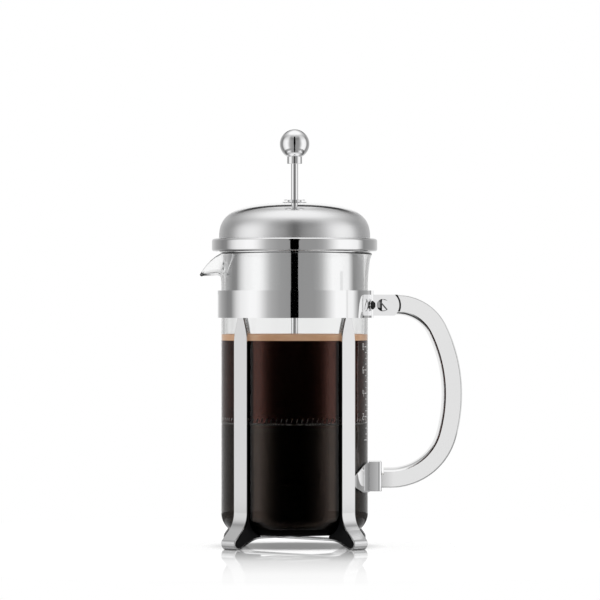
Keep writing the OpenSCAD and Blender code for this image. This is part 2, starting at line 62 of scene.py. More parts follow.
def high(node):
    """Highest corner of a CAD node."""
    return np.array(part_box(node)[1]) / MM


def levels(node):
    """Lowest and highest level of a CAD node."""
    return low(node)[2], high(node)[2]


# ---------- meshes ----------


def mesh(name, points, faces, sharp=38):
    """An object from points: doubles merged, smooth shaded, edges over `sharp` degrees kept sharp."""
    data = bpy.data.meshes.new(name)
    data.from_pydata([Vector(p) * MM for p in points], [], [list(map(int, f)) for f in faces])
    work = bmesh.new()
    work.from_mesh(data)
    bmesh.ops.remove_doubles(work, verts=work.verts, dist=1e-7)
    bmesh.ops.dissolve_degenerate(work, edges=work.edges, dist=1e-8)
    bmesh.ops.recalc_face_normals(work, faces=work.faces)
    for face in work.faces:
        face.smooth = True
    for edge in work.edges:
        edge.smooth = edge.calc_face_angle(0) < radians(sharp)
    work.to_mesh(data)
    work.free()
    piece = bpy.data.objects.new(name, data)
    bpy.context.scene.collection.objects.link(piece)
    return piece


def bevel(piece, width, steps=3, angle=38):
    """Rounds every edge sharper than `angle` degrees."""
    m = piece.modifiers.new("bevel", "BEVEL")
    m.width = width * MM
    m.segments = steps
    m.limit_method = "ANGLE"
    m.angle_limit = radians(angle)
    m.harden_normals = True
    return piece


def grid_faces(rows, columns, wrap_rows=False, wrap_columns=False):
    """Quads of a grid whose points are numbered row by row."""
    return [
        (i * columns + j, i * columns + (j + 1) % columns,
         (i + 1) % rows * columns + (j + 1) % columns, (i + 1) % rows * columns + j)
        for i in range(rows if wrap_rows else rows - 1)
        for j in range(columns if wrap_columns else columns - 1)
    ]


def sweep(start, end, count):
    """Evenly spaced angles: degrees in, radians out."""
    return np.radians(np.linspace(start, end, count))


def unit(v):
    """Vectors brought to length 1."""
    return v / np.linalg.norm(v, axis=-1, keepdims=True)


def arc(centre, radius, start, end, steps):
    """Points on an arc, angles in degrees."""
    return [
        (centre[0] + radius * cos(a), centre[1] + radius * sin(a))
        for a in sweep(start, end, steps + 1)
    ]


def rectangle(x0, x1, y0, y1):
    return [(x0, y0), (x1, y0), (x1, y1), (x0, y1)]


def swung(angle):
    """A place() for prism(): first number outwards at this angle round Z, second up, third across."""
    c, s = cos(radians(angle)), sin(radians(angle))
    return lambda u, v, w: (u * c - w * s, u * s + w * c, v)


def upright(u, v, w):
    """A place() for prism(): an outline in X and Y pushed along Z."""
    return (u, v, w)


def rounded(corners, steps=5):
    """A closed outline from corners (x, y, radius), each one rounded by its radius."""
    outline = []
    for k, (x, y, radius) in enumerate(corners):
        here = np.array((x, y))
        if radius == 0:
            outline.append((x, y))
            continue
        before = unit(np.array(corners[k - 1][:2]) - here)
        after = unit(np.array(corners[(k + 1) % len(corners)][:2]) - here)
        half = acos(np.clip(before @ after, -1, 1)) / 2
        centre = here + unit(before + after) * radius / sin(half)
        reach = radius / tan(half)
        from_point, to_point = here + before * reach - centre, here + after * reach - centre
        outline.append(tuple(here + before * (reach + HOLD)))
        for s in np.linspace(0, 1, steps + 1):
            point = from_point * (1 - s) + to_point * s
            outline.append(tuple(centre + unit(point) * radius))
        outline.append(tuple(here + after * (reach + HOLD)))
    return outline


def turned(name, outline, steps=ROUND):
    """A closed outline (radius, height) turned about the Z axis."""
    angles = np.linspace(0, 2 * pi, steps, endpoint=False)
    points = [(r * cos(a), r * sin(a), z) for a in angles for r, z in outline]
    return mesh(name, points, grid_faces(steps, len(outline), True, True))


def sheet(name, outer, inner, present=None, wrap=False):
    """A thin sheet between two grids of points [row][column]; present[row][column] tells its quads."""
    outer, inner = np.array(outer, float), np.array(inner, float)
    rows, columns = outer.shape[:2]
    last = columns if wrap else columns - 1
    if present is None:
        present = np.ones((rows - 1, last), bool)
    there = lambda i, j: 0 <= i < rows - 1 and (wrap or 0 <= j < last) and present[i][j % last]
    out = lambda i, j: i * columns + j % columns
    back = lambda i, j: rows * columns + out(i, j)
    faces = []
    for i in range(rows - 1):
        for j in range(last):
            if not there(i, j):
                continue
            corners = [(i, j), (i, j + 1), (i + 1, j + 1), (i + 1, j)]
            beside = [(i - 1, j), (i, j + 1), (i + 1, j), (i, j - 1)]
            faces.append([out(*c) for c in corners])
            faces.append([back(*c) for c in corners])
            for k, cell in enumerate(beside):
                if not there(*cell):
                    a, b = corners[k], corners[(k + 1) % 4]
                    faces.append([out(*a), out(*b), back(*b), back(*a)])
    return mesh(name, np.concatenate([outer.reshape(-1, 3), inner.reshape(-1, 3)]), faces)


def swept(name, loops):
    """A solid through closed loops of points. Each loop is symmetric, so its ends are closed pair by pair."""
    loops = np.array(loops, float)
    rows, columns = loops.shape[:2]
    faces = grid_faces(rows, columns, False, True)
    for start in (0, (rows - 1) * columns):
        faces += [(start + k, start + k + 1, start + columns - 2 - k, start + columns - 1 - k)
                  for k in range(columns // 2 - 1)]
    return mesh(name, loops.reshape(-1, 3), faces)


def prism(name, outline, place, start, end):
    """An outline pushed from start to end. place(u, v, w) gives the point."""
    count = len(outline)
    points = [place(u, v, w) for w in (start, end) for u, v in outline]
    faces = grid_faces(2, count, False, True) + [list(range(count)), list(range(count, 2 * count))]
    return mesh(name, points, faces)


def cut_out(piece, cutter):
    """Takes the cutter away from the piece for good."""
    m = piece.modifiers.new("cut", "BOOLEAN")
    m.operation = "DIFFERENCE"
    m.solver = "EXACT"
    m.object = cutter
    bpy.context.view_layer.update()
    result = bpy.data.meshes.new_from_object(piece.evaluated_get(bpy.context.evaluated_depsgraph_get()))
    piece.modifiers.clear()
    piece.data = result
    bpy.data.objects.remove(cutter)
    return piece


# ---------- materials ----------


class Nodes:
    """A short way to write a node tree."""

    def __init__(self, tree):
        self.tree = tree
        tree.nodes.clear()

    def add(self, kind, _out=0, **values):
        """Makes a shader node. A value is a number, a colour or a socket; settings are set by name."""
        node = self.tree.nodes.new("ShaderNode" + kind)
        for key, value in values.items():
            name = key.replace("_", " ")
            if hasattr(node, key) and key not in ("color", "location"):
                setattr(node, key, value)
                continue
            numbered = key[0] == "i" and key[1:].isdigit()
            socket = node.inputs[int(key[1:]) if numbered else name]
            if isinstance(value, bpy.types.NodeSocket):
                self.tree.links.new(value, socket)
            else:
                socket.default_value = value
        return node.outputs[_out] if len(node.outputs) else node

    def math(self, operation, a, b=0.0):
        return self.add("Math", operation=operation, i0=a, i1=b)

    def blend(self, mode, a, b, factor=1.0):
        """Colours a and b mixed: "MIX", "MULTIPLY" or "LIGHTEN"."""
        return self.add("Mix", _out=2, data_type="RGBA", blend_type=mode, i0=factor, i6=a, i7=b)

    def mixed(self, factor, a, b):
        """Shaders a and b mixed."""
        return self.add("MixShader", i0=factor, i1=a, i2=b)

    def place(self):
        """The place in object space, in metres."""
        return self.add("TexCoord", _out=3)

    def axis(self, where, number):
        """One coordinate of a place or a way."""
        return self.add("SeparateXYZ", _out=number, Vector=where)

    def ramp(self, factor, stops, ease="EASE"):
        """A colour ramp from stops (position, grey or colour)."""
        out = self.add("ValToRGB", i0=factor)
        ramp = out.node.color_ramp
        ramp.interpolation = ease
        while len(ramp.elements) < len(stops):
            ramp.elements.new(1.0)
        for element, (position, value) in zip(ramp.elements, stops):
            element.position = position
            element.color = (*((value,) * 3 if isinstance(value, (int, float)) else value), 1)
        return out

    def noise(self, scale, detail=2.0, stretch=(1, 1, 1)):
        """Noise in object space, `scale` cycles per metre."""
        where = self.add("Mapping", Vector=self.place(), Scale=stretch)
        return self.add("TexNoise", Vector=where, Scale=scale, Detail=detail)

    def span(self, value, low_end, high_end, start=0.0, end=1.0):
        """The range low_end to high_end drawn out to start to end, and held there beyond it."""
        return self.add("MapRange", Value=value, From_Min=low_end, From_Max=high_end,
                        To_Min=start, To_Max=end)

    def between(self, factor, start, end):
        return self.span(factor, 0.0, 1.0, start, end)

    def bump(self, strength, distance, height):
        return self.add("Bump", Strength=strength, Distance=distance, Height=height)

    def glow(self, strength, colour=(1, 1, 1, 1)):
        return self.add("Emission", Color=colour, Strength=strength)

    def coat(self, **values):
        return self.add("BsdfPrincipled", **values)


def material(name, build):
    """A new material whose nodes build(nodes) makes. build returns the surface's socket."""
    m = bpy.data.materials.new(name)
    m.use_nodes = True
    n = Nodes(m.node_tree)
    surface = build(n)
    n.add("OutputMaterial", Surface=surface)
    return m


def metal(name, colour, rough, spread, grain=900, relief=0.004, stretch=(1, 1, 1)):
    """A polished or satin metal: fine hairlines and faint smudges vary its roughness."""

    def build(n):
        hairlines = n.noise(grain, 3, stretch)
        smudges = n.noise(28, 2)
        level = n.math("ADD", n.math("MULTIPLY", smudges, 0.7), n.math("MULTIPLY", hairlines, 0.3))
        bump = n.bump(relief * 10, 0.00002, hairlines)
        return n.coat(Base_Color=(*colour, 1), Metallic=1.0,
                      Roughness=n.between(level, rough - spread, rough + spread), Normal=bump)

    return material(name, build)


def dome_steel(n):
    """Satin steel whose crown is polished brighter."""
    satin_rough, crown_rough = 0.31, 0.08
    crown_from, crown_to = high("lid_dome")[2] - 7.9, high("lid_dome")[2] - 4.4
    hairlines = n.noise(900, 3)
    satin = n.span(n.axis(n.place(), 2), crown_from * MM, crown_to * MM, satin_rough, crown_rough)
    rough = n.math("ADD", satin, n.math("MULTIPLY", hairlines, 0.03))
    bump = n.bump(0.02, 0.00002, hairlines)
    return n.coat(Base_Color=(0.92, 0.92, 0.925, 1), Metallic=1.0, Roughness=rough, Normal=bump)


def clear_glass(n):
    streaks = n.noise(9, 1, (1, 1, 0.3))
    bump = n.bump(0.02, 0.0002, streaks)
    return n.coat(Base_Color=(0.998, 1.0, 0.999, 1), IOR=1.5,
                  Specular_Tint=(0.35, 0.35, 0.35, 1), Transmission_Weight=1.0,
                  Roughness=n.between(streaks, 0.0, 0.004), Normal=bump)


def wet_glass(n):
    """The inner face of the glass where liquid lies against it, and no light is turned or thrown back."""
    tint = n.ramp(n.noise(20), [(0, 0.97), (1, 1.0)])
    return n.add("BsdfTransparent", Color=tint)


def black_rubber(n):
    grain = n.noise(2600, 3)
    bump = n.bump(0.25, 0.00006, grain)
    colour = n.ramp(n.noise(120), [(0.3, (0.004, 0.004, 0.0045)), (0.7, (0.009, 0.009, 0.01))])
    return n.coat(Base_Color=colour, Roughness=n.between(grain, 0.22, 0.36),
                  Specular_IOR_Level=0.2, Normal=bump)


def woven_steel(n):
    """Fine wire cloth: two sets of threads in the mesh's own plane."""
    where = n.place()
    threads = [n.add("TexWave", Vector=where, bands_direction=way, Scale=700.0)
               for way in ("X", "Y")]
    weave = n.math("MULTIPLY", n.axis(threads[0], 0), n.axis(threads[1], 0))
    bump = n.bump(0.8, 0.0002, weave)
    colour = n.ramp(weave, [(0.0, (0.16, 0.15, 0.14)), (0.6, (0.62, 0.61, 0.59))])
    return n.coat(Base_Color=colour, Metallic=1.0, Roughness=n.between(weave, 0.5, 0.28), Normal=bump)


def coffee_liquid(n):
    """Brown-black liquid whose shine stays brown at low angles, which only a mostly metallic shader does."""
    cloud = n.noise(35, 3)
    colour = n.ramp(cloud, [(0.3, (0.056, 0.02, 0.014)), (0.75, (0.064, 0.024, 0.017))])
    bump = n.bump(0.05, 0.0005, cloud)
    return n.coat(Base_Color=colour, Metallic=0.8, IOR=1.65, Normal=bump,
                  Specular_Tint=(1.0, 0.42, 0.34, 1), Roughness=n.between(cloud, 0.14, 0.2))


def coffee_grounds(n):
    grains = n.noise(900, 6)
    clumps = n.noise(90, 4)
    speck = n.math("MULTIPLY", grains, clumps)
    colour = n.ramp(speck, [(0.16, (0.001, 0.0006, 0.0005)), (0.34, (0.0026, 0.0016, 0.0012)),
                            (0.5, (0.03, 0.021, 0.015))])
    bump = n.bump(0.4, 0.0003, grains)
    return n.coat(Base_Color=colour, Normal=bump, IOR=1.65,
                  Specular_Tint=(1.0, 0.74, 0.6, 1), Roughness=n.between(grains, 0.17, 0.25))


def crema_foam(n):
    bubbles = n.add("TexVoronoi", Vector=n.place(), Scale=900.0)
    cloud = n.noise(60, 4)
    colour = n.ramp(cloud, [(0.3, (0.74, 0.42, 0.24)), (0.7, (0.88, 0.56, 0.36))])
    bump = n.bump(0.25, 0.0003, bubbles)
    # The foam also glows in its own colour: painted light that brightens it.
    return n.coat(Base_Color=colour, Emission_Color=colour,
                  Emission_Strength=0.24, Normal=bump, Roughness=n.between(bubbles, 0.45, 0.6))


def scale_ink(n):
    worn = n.noise(1500, 3)
    return n.coat(Base_Color=n.ramp(worn, [(0.25, 0.62), (0.6, 0.86)]), Roughness=n.between(worn, 0.4, 0.6))


CHROME = metal("chrome", (0.95, 0.95, 0.955), 0.035, 0.015)
LEG_STEEL = metal("leg_steel", (0.82, 0.82, 0.825), 0.12, 0.03)
DOME_STEEL = material("dome_steel", dome_steel)
HANDLE_METAL = metal("handle_metal", (0.95, 0.95, 0.95), 0.08, 0.02)
STAINLESS = metal("stainless", (0.8, 0.79, 0.77), 0.28, 0.06, 1600, 0.01, (1, 1, 0.05))
GLASS = material("glass", clear_glass)
WET_GLASS = material("glass_wet", wet_glass)
BLACK = material("black_plastic", black_rubber)
WOVEN = material("mesh_steel", woven_steel)
COFFEE = material("coffee", coffee_liquid)
GROUNDS = material("coffee_grounds", coffee_grounds)
CREMA = material("crema", crema_foam)
INK = material("scale_ink", scale_ink)
# Painted shade: a near-black metal for faces deep in narrow gaps and dents.
PAINTED_SHADE = metal("painted_shade_metal", (0.03, 0.03, 0.03), 0.45, 0.08)
# Painted shade: a dark grey metal for the floor and walls of the screw slots.
SLOT_PAINTED_SHADE = metal("slot_painted_shade_metal", (0.2, 0.2, 0.2), 0.45, 0.08)


def finished(piece, look, body, *nodes, slot=None):
    """Gives a piece its material, the body it rides on, and the CAD nodes that it stands for."""
    piece.data.materials.append(look)
    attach(piece, body)
    if nodes:
        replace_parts(piece, *nodes)
    return piece


# ---------- lid ----------

DOME_POWER = 2.9
SHEET_T = 0.8


def lid_dome():
    """Straight foot inside the rim, then a superellipse up to the hole for the guide bush."""
    foot_z, top_z = levels("lid_dome")
    radius = high("lid_dome")[0]
    shoulder_z = high("lid_rim")[2] - 1.0
    hole_r = high("rod_bush")[0] - 4.4

    def line(inset):
        height = top_z - shoulder_z - inset
        angles = sweep(0, 90, 90)
        bend = [((radius - inset) * cos(a) ** (2 / DOME_POWER),
                 shoulder_z + height * sin(a) ** (2 / DOME_POWER)) for a in angles]
        bend = [p for p in bend if p[0] > hole_r + 0.3]
        return bend + [(hole_r, bend[-1][1])]

    outline = [(radius, foot_z)] + line(0) + line(SHEET_T)[::-1] + [(radius - SHEET_T, foot_z)]
    finished(turned("lid_dome", outline), DOME_STEEL, "lid", "lid_dome", slot="chrome")


def lid_rim():
    """Hollow bead round the foot of the dome."""
    z0, z1 = levels("lid_rim")
    radius, inner = high("lid_rim")[0], high("lid_dome")[0] + 0.02
    corner, wall = 1.9, 1.0
    outline = rounded([(inner, z0, 0.2), (radius, z0, corner), (radius, z1, corner), (inner, z1, 0.2),
                       (inner, z1 - wall, 0), (radius - wall, z1 - wall, corner - wall),
                       (radius - wall, z0 + wall, corner - wall), (inner, z0 + wall, 0)], 8)
    finished(turned("lid_rim", outline), CHROME, "lid", "lid_rim", slot="chrome")


def lid_skirt():
    """Ring that fits in the glass, with rows of pouring slots towards the spout."""
    z0, z1 = levels("lid_skirt")
    flange_r = high("lid_skirt")[0]
    radius, wall, bend_r = flange_r - 3.28, 0.7, 1.2
    slot_first, slot_pitch, slot_h, slot_l, slot_step = z0 + 14, 3.4, 1.6, 4.0, 8
    slot_half = degrees(slot_l / 2 / radius)
    bend_c = (radius + bend_r, z1 - wall - bend_r)
    heights = [z0] + [slot_first + k * slot_pitch + h for k in range(4) for h in (0, slot_h)]
    heights.append(bend_c[1] - HOLD)
    sides = [k * slot_step + s * slot_half for k in (-1, 0, 1) for s in (-1, 1)]
    angles = sides + list(np.linspace(sides[-1] + 1.75, 360 + sides[0] - 1.75, 200))
    flare = arc(bend_c, bend_r, 180, 90, 4) + [(flange_r, z1 - wall)]
    over = arc(bend_c, bend_r + wall, 180, 90, 4) + [(flange_r, z1)]
    paths = [[(radius, z) for z in heights] + flare, [(radius - wall, z) for z in heights] + over]
    # Angles run from -X, where the spout is.
    spin = lambda r, a: (-r * cos(radians(a)), -r * sin(radians(a)))
    outer, inner = ([[(*spin(r, a), z) for a in angles] for r, z in path] for path in paths)
    present = np.ones((len(outer) - 1, len(angles)), bool)
    # A slot is every second stretch of heights, between every second pair of sides.
    present[1:8:2, 0:5:2] = False
    piece = sheet("lid_skirt", outer, inner, present, wrap=True)
    finished(piece, CHROME, "lid", "lid_skirt", slot="chrome")


def rod_bush():
    """Two flanges over the dome with a waist between them, on a shank."""
    radius, (z0, z1) = high("rod_bush")[0], levels("rod_bush")
    seat = high("lid_dome")[2] + 0.05
    bore, shank_r, waist_r = 2.36, 3.5, 4.6
    outline = rounded([(bore, z0, 0), (shank_r, z0, 0.3), (shank_r, seat, 0), (radius, seat, 0.2),
                       (radius, seat + 0.4, 0.2), (waist_r, seat + 0.7, 0.2), (waist_r, z1 - 0.65, 0.2),
                       (radius - 1, z1 - 0.4, 0.15), (radius - 1, z1, 0.15), (bore, z1, 0.3)], 4)
    finished(turned("rod_bush", outline, 96), CHROME, "lid_guide", "rod_bush", slot="chrome")


# ---------- plunger ----------

ROD_R = 2.3

def knob():
    """Ball with a flat underneath."""
    flat, top = levels("knob")
    radius = high("knob")[0]
    centre = top - radius
    start = degrees(asin((flat - centre) / radius))
    outline = [(0, flat)] + arc((0, centre), radius, start, 90, 90)
    finished(turned("knob", outline), CHROME, "plunger", "knob", slot="chrome")


def knob_collar():
    """Ring under the knob, on the rod."""
    radius, (z0, z1) = high("knob_collar")[0], levels("knob_collar")
    bore = ROD_R + 0.02
    outline = rounded([(bore, z0, 0), (radius, z0, 0.35), (radius, z1, 0.2), (bore, z1, 0)], 4)
    finished(turned("knob_collar", outline, 128), CHROME, "plunger", "knob_collar", slot="chrome")


def plunger_rod():
    """Rod with a shoulder that rests on the mesh."""
    z0, z1 = levels("plunger_rod")
    shoulder_z = high("mesh_filter")[2]
    shoulder_r, shoulder_top = high("plunger_rod")[0], shoulder_z + 1.4
    outline = rounded([(0, z0, 0), (ROD_R, z0, 0.2), (ROD_R, shoulder_z, 0), (shoulder_r, shoulder_z, 0.2),
                       (shoulder_r, shoulder_top, 0.3), (ROD_R, shoulder_top, 0.2), (ROD_R, z1, 0.2),
                       (0, z1, 0)], 3)
    finished(turned("plunger_rod", outline, 64), CHROME, "plunger", "plunger_rod", slot="chrome")


def edge_coil():
    """A wire wound as a long spring and closed into a ring."""
    z0, z1 = levels("edge_coil")
    tube, height = (z1 - z0) / 2, (z1 + z0) / 2
    ring = high("edge_coil")[0] - tube
    wire, windings, per_winding, sides = 0.36, 86, 14, 7
    t = np.linspace(0, 2 * pi, windings * per_winding, endpoint=False)
    turn = t * windings
    radial = np.stack([np.cos(t), np.sin(t), 0 * t], 1)
    up = np.array([0, 0, 1.0])
    out = radial * np.cos(turn)[:, None] + up * np.sin(turn)[:, None]
    middle = radial * ring + up * height + out * (tube - wire)
    along = unit(np.roll(middle, -1, 0) - np.roll(middle, 1, 0))
    across = np.cross(along, out)
    loops = [middle + wire * (out * cos(a) + across * sin(a))
             for a in np.linspace(0, 2 * pi, sides, endpoint=False)]
    piece = mesh("edge_coil", np.stack(loops, 1).reshape(-1, 3), grid_faces(len(t), sides, True, True))
    finished(piece, STAINLESS, "plunger", "edge_coil", slot="stainless")


# ---------- frame: band, legs, pads ----------

FOLD_R = 5.0
BAND_T = 0.8
EAR_OUT = 7.95
EAR_HALF_H = 6.85
EAR_Z = 157.85
EAR_END_R = 9.4
STEP_X = 51.6
DART_R = 4.0
DART_RISE = 1.2
ARM_Z = {45: 6.55, 135: 5.2}  # top of the arm under the glass, by its strip's angle
LEG_REACH = 61.0


def frame_band():
    """Ring with a fold and a round-ended ear on each side of the handle."""
    radius = high("frame_band")[1]
    z0, z1 = levels("frame_band")
    end_x, flat_x = high("frame_band")[0], 64
    fold_y = EAR_OUT + FOLD_R
    fold_x = sqrt((radius + FOLD_R) ** 2 - fold_y ** 2)
    fold_a = degrees(atan2(fold_y, fold_x))
    arc_x = end_x - EAR_END_R
    dart_mid = radians((90 + 180 - fold_a) / 2)
    dart_c = FOLD_R - DART_RISE + DART_R
    round_from = degrees(asin(EAR_HALF_H / EAR_END_R))

    heights = [z0] + list(np.linspace(EAR_Z - EAR_HALF_H, EAR_Z + EAR_HALF_H, 35)) + [z1]
    # A column is (x, y, outward x, outward y, half height, angle round the fold), from an ear's tip on.
    columns = [(arc_x + EAR_END_R * cos(a), -EAR_OUT, 0, -1, EAR_END_R * sin(a), None)
               for a in sweep(0, round_from, 10)]
    columns += [(x, -EAR_OUT, 0, -1, EAR_HALF_H, None) for x in np.linspace(flat_x, fold_x, 8)]
    step = acos((STEP_X - fold_x) / FOLD_R)
    turn = list(np.linspace(pi / 2, step, 10)[1:]) + \
        list(np.linspace(step, radians(180 - fold_a), 20)[1:])
    columns += [(fold_x + FOLD_R * cos(a), FOLD_R * sin(a) - fold_y,
                 -cos(a), -sin(a), EAR_HALF_H, a) for a in turn]
    ring = sweep(-fold_a, -180, 130)[1:]
    columns += [(radius * cos(a), radius * sin(a), cos(a), sin(a), EAR_HALF_H, None)
                for a in ring]
    mirrored = [(x, -y, nx, -ny, h, a) for x, y, nx, ny, h, a in columns[:-1][::-1]]

    def point(column, z, inset):
        x, y, nx, ny, half, turn_a = column
        z = EAR_Z + (z - EAR_Z) * half / EAR_HALF_H if half < EAR_HALF_H else z
        depth = 0
        if turn_a is not None:
            away = turn_a - dart_mid
            left = DART_R ** 2 - (z - EAR_Z) ** 2 - (dart_c * sin(away)) ** 2
            if left > 0:
                depth = max(0, FOLD_R - dart_c * cos(away) + sqrt(left))
        return (x + nx * (depth - inset), y + ny * (depth - inset), z)

    columns = columns + mirrored
    outer = [[point(c, z, 0) for z in heights] for c in columns]
    inner = [[point(c, z, BAND_T) for z in heights] for c in columns]
    present = np.ones((len(columns) - 1, len(heights) - 1), bool)
    for i in range(len(columns) - 1):
        if max(columns[i][0], columns[i + 1][0]) > STEP_X + 0.01:
            present[i, 0] = present[i, -1] = False
    piece = bevel(sheet("frame_band", outer, inner, present), 0.18)
    finished(piece, CHROME, "frame", "frame_band", slot="chrome")
    # The dart is pressed so deep that it catches little light, so its faces get painted shade: a near-black
    # metal.
    piece.data.materials.append(PAINTED_SHADE)
    ball_x, ball_y = fold_x + dart_c * cos(dart_mid), fold_y - dart_c * sin(dart_mid)
    for face in piece.data.polygons:
        c = face.center / MM
        if dist((c.x, abs(c.y), c.z), (ball_x, ball_y, EAR_Z)) < DART_R * 1.01 and \
                hypot(c.x - fold_x, abs(c.y) - fold_y) < FOLD_R - 0.12:
            face.material_index = 1


LEG_T = 1.3
CURL_R = 4.0
FLARE_R = 16.0
RAMP_A = 24.8
RAMP_R = 26.0


def leg_path(inset, flat_z, leg_out, curl_x, top_z):
    """A leg's face in radius and height, from its top to the middle of the flat under the beaker."""
    curl_z = CURL_R - 0.15
    flare_z = curl_z + curl_x - leg_out + CURL_R * sqrt(2) - FLARE_R * (1 - sqrt(2))
    r, bend = CURL_R - inset, RAMP_R + inset
    foot = arc((curl_x, curl_z), r, -90 - RAMP_A, -90 - RAMP_A, 0)[0]
    end_z = flat_z - RAMP_R + bend * cos(radians(RAMP_A))
    end_x = foot[0] - (end_z - foot[1]) / tan(radians(RAMP_A))
    bend_x = end_x - bend * sin(radians(RAMP_A))
    tab = [(leg_out - inset, z) for z in [*np.linspace(top_z, 130, 26), flare_z + HOLD]]
    return (tab + arc((leg_out + FLARE_R, flare_z), FLARE_R + inset, 180, 225, 18)
            + arc((curl_x, curl_z), r, 45, -90 - RAMP_A, 36)
            + arc((bend_x, flat_z - RAMP_R), bend, 90 - RAMP_A, 90, 12)
            + [(0, flat_z + inset)])


def leg_strip(node, angle):
    """One long strip: down a leg, round the curl of the foot, under the beaker and up the other leg."""
    top_z = high(node)[2]
    band_z = low("frame_band")[2]
    leg_out = high("frame_band")[1] - BAND_T
    curl_x, flat_z = LEG_REACH - CURL_R, ARM_Z[angle]
    half_w, tab_half, taper = 6.0, 2.55, 16.6
    place = swung(angle)

    def half(z):
        return tab_half + (half_w - tab_half) * sin(pi / 2 * np.clip((band_z - z) / taper, 0, 1))

    def side(inset):
        path = leg_path(inset, flat_z, leg_out, curl_x, top_z)
        path += [(-r, z) for r, z in path[:-1][::-1]]
        return [[place(r, max(z, 0), s * half(z)) for s in np.linspace(-1, 1, 5)] for r, z in path]

    piece = bevel(sheet(node, side(0), side(LEG_T)), 0.22)
    finished(piece, LEG_STEEL, "frame", node, slot="chrome")


def pad(node, angle):
    """Black block that fills the curl of a foot and carries the corner of the glass."""
    flat_z = ARM_Z[angle % 180]
    leg_out = high("frame_band")[1] - BAND_T
    top_z = high(node)[2]
    gap, inner_r, half_w = 0.3, 38.0, 6.5
    centre = (GLASS_R - CORNER_R, low("beaker")[2] + CORNER_R)
    inset = LEG_T + 0.03
    strip = [p for p in leg_path(inset, flat_z, leg_out, LEG_REACH - CURL_R, top_z)
             if p[0] > inner_r and p[1] <= top_z]
    ramp_end = strip[-1]
    slope = tan(radians(RAMP_A))
    strip.append((inner_r, ramp_end[1] + (ramp_end[0] - inner_r) * slope * 0.6))
    start = -degrees(acos((inner_r - centre[0]) / (CORNER_R + gap)))
    glass = arc(centre, CORNER_R + gap, start, 0, 20) + [(GLASS_R + gap, top_z)]
    outline = [(leg_out - inset, top_z)] + strip + glass
    piece = bevel(prism(node, outline, swung(angle), -half_w, half_w), 0.3, 2)
    finished(piece, BLACK, "frame", node, slot="black_plastic")


# ---------- handle ----------

GRIP_HALF = 8.0
GRIP_W = 13.1
GRIP_FLAT = 10.5
TONGUE_HALF = 7.1


def grip_section():
    """Half of the bar's section as (distance from the outer edge, y), from that edge to the inner one."""
    edge = 0.8
    bulge = GRIP_W - GRIP_FLAT
    radius = (GRIP_HALF ** 2 + bulge ** 2) / (2 * bulge)
    swing = degrees(asin(GRIP_HALF / radius))
    corner = [(edge - edge * cos(a), GRIP_HALF - edge + edge * sin(a))
              for a in sweep(0, 90, 6)]
    flats = [(u, GRIP_HALF) for u in (edge + HOLD, 3.5, 6, 8.4, 8.6, GRIP_FLAT - 2 * HOLD)]
    crown = [(GRIP_W - radius + radius * cos(a), radius * sin(a))
             for a in sweep(swing, 0, 14)]
    return [(0.0, 0.0)] + corner + flats + crown


def handle():
    """The bar: straight at both ends, four arcs between them."""
    top_c, top_r = (66.7, 128.7), 36.0
    low_c, low_r = (62.6, 83.0), 44.5
    side_z, reach = 100.0, high("handle")[0]

    def side_radius(c, r):
        x, z = reach - c[0], c[1] - side_z
        return (x * x + z * z - r * r) / (2 * (x - r))

    up_r, down_r = side_radius(top_c, top_r), side_radius(low_c, low_r)
    up_c, down_c = (reach - up_r, side_z), (reach - down_r, side_z)
    up_a = degrees(atan2(top_c[1] - up_c[1], top_c[0] - up_c[0]))
    down_a = degrees(atan2(low_c[1] - down_c[1], low_c[0] - down_c[0]))
    stations = []
    for c, r, start, end, steps in ((top_c, top_r, 90, up_a, 26), (up_c, up_r, up_a, 0, 18),
                                    (down_c, down_r, 0, down_a, 9), (low_c, low_r, down_a, -90, 36)):
        for a in np.linspace(start, end, steps + 1)[1:]:
            stations.append((*arc(c, r, a, a, 0)[0], a))
    # The arc starts past the shoulder between the ears.
    first_x = 72.5
    stations = [s for s in stations if s[0] > first_x or s[1] < side_z]
    half = grip_section()
    section = half + [(u, -y) for u, y in half[::-1]]
    loops = []
    top_z, low_z = top_c[1] + top_r, low_c[1] - low_r
    ear_x = high("frame_band")[0] - EAR_END_R
    shoulder_r = EAR_END_R + 1.2
    shoulder = lambda u: ear_x + sqrt(shoulder_r ** 2 - (top_z - u - EAR_Z) ** 2)
    tongue = lambda y: max(-TONGUE_HALF, min(TONGUE_HALF, y))
    bend = lambda u: top_c[1] + sqrt((top_r - u) ** 2 - (shoulder(u) - top_c[0]) ** 2)
    tongue_x = low("handle")[0] + 1.9
    loops.append([(tongue_x, tongue(y), top_z - u) for u, y in section])
    loops.append([(shoulder(u), tongue(y), bend(u)) for u, y in section])
    loops.append([(shoulder(u), y, bend(u)) for u, y in section])
    for x, z, a in stations:
        c, s = cos(radians(a)), sin(radians(a))
        loops.append([(x - u * c, y, z - u * s) for u, y in section])
    # The inner part of the lower end is notched back from the socket.
    socket_x, gap, notch, notch_from = high("handle_socket")[0], 0.02, 1.4, 8.5
    loops.append([(socket_x + (notch if u > notch_from else gap), y, low_z + u) for u, y in section])
    bar = bevel(swept("handle_bar", loops), 0.25)
    finished(bar, HANDLE_METAL, "frame", "handle", slot="handle_metal")
    # The sides of the tongue are seen only at the bottom of a narrow gap, and get painted shade: a near-black
    # metal.
    bar.data.materials.append(PAINTED_SHADE)
    for face in bar.data.polygons:
        if abs(abs(face.center.y) - TONGUE_HALF * MM) < 1e-5:
            face.material_index = 1


